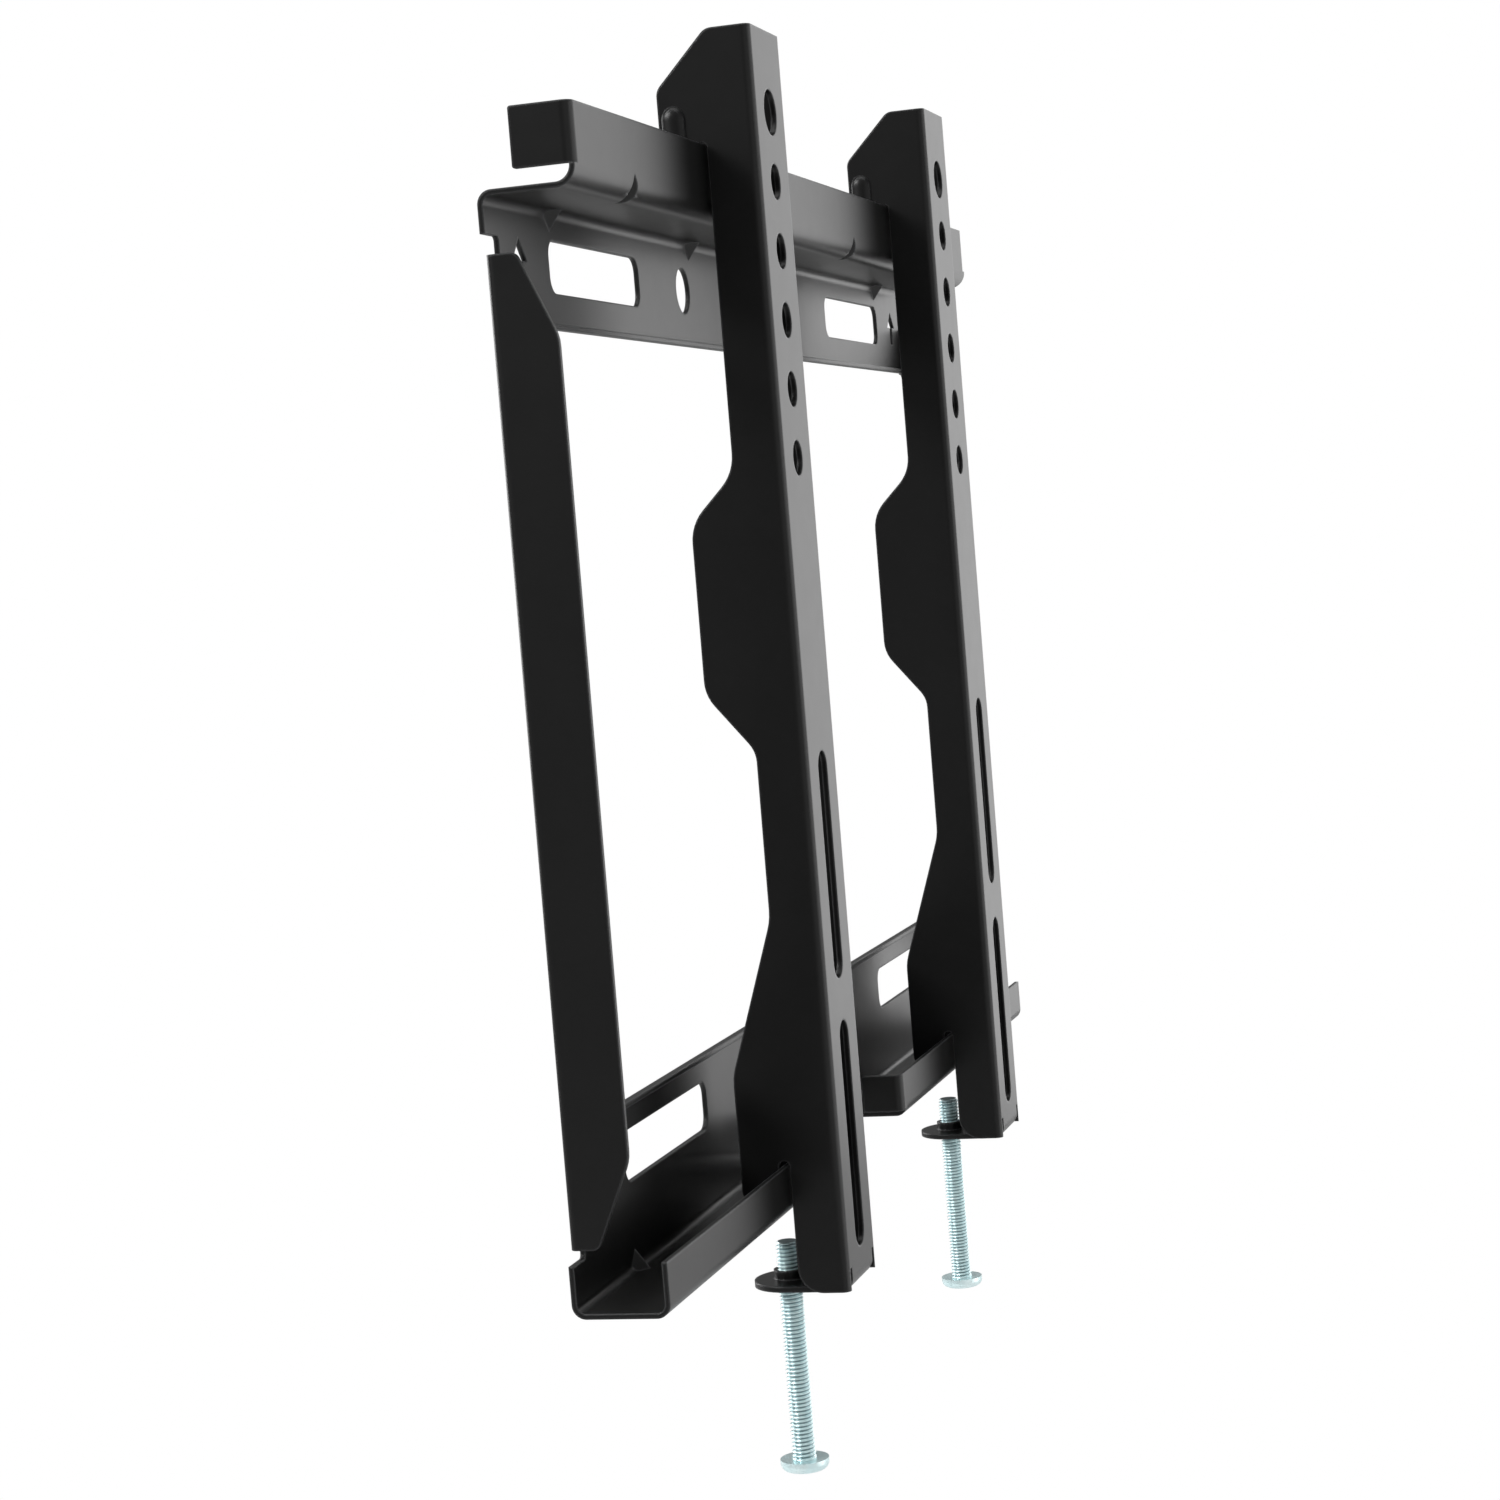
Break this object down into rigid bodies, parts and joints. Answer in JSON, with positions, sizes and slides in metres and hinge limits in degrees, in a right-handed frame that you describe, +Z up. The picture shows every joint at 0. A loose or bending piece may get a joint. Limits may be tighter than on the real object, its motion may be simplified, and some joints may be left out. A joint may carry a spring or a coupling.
{
  "type": "fixed tv wall mount",
  "caption": "Low profile wall mount: folded steel plate with hook rails, hanging screen arms and lock screws.",
  "frame": {"origin": "centre of the rectangle of the four round wall holes, which is also that of the four wall slots, on the plane of the wall", "axes": "+X to the right as seen from the room, +Y into the wall, +Z up"},
  "size_m": [0.325, 0.0292, 0.2896],
  "materials": {
    "plate_paint": "satin black powder coat",
    "arm_paint": "satin black powder coat",
    "screw_zinc": "bright zinc plate"
  },
  "bodies": {
    "plate": {"wall_plate": "plate_paint"},
    "left_arm_body": {"left_arm": "arm_paint"},
    "right_arm_body": {"right_arm": "arm_paint"},
    "left_screw_body": {"left_lock_screw": "screw_zinc"},
    "right_screw_body": {"right_lock_screw": "screw_zinc"}
  },
  "joints": [
    {"name": "left_arm_slide", "type": "slide", "parent": "plate", "child": "left_arm_body", "axis": [1, 0, 0], "range_m": [-0.0785, 0.0355]},
    {"name": "right_arm_slide", "type": "slide", "parent": "plate", "child": "right_arm_body", "axis": [1, 0, 0], "range_m": [-0.0525, 0.0615]},
    {"name": "left_screw_travel", "type": "slide", "parent": "left_arm_body", "child": "left_screw_body", "axis": [0, 0, 1], "range_m": [-0.0075, 0.0072]},
    {"name": "right_screw_travel", "type": "slide", "parent": "right_arm_body", "child": "right_screw_body", "axis": [0, 0, 1], "range_m": [-0.0075, 0.0072]}
  ]
}
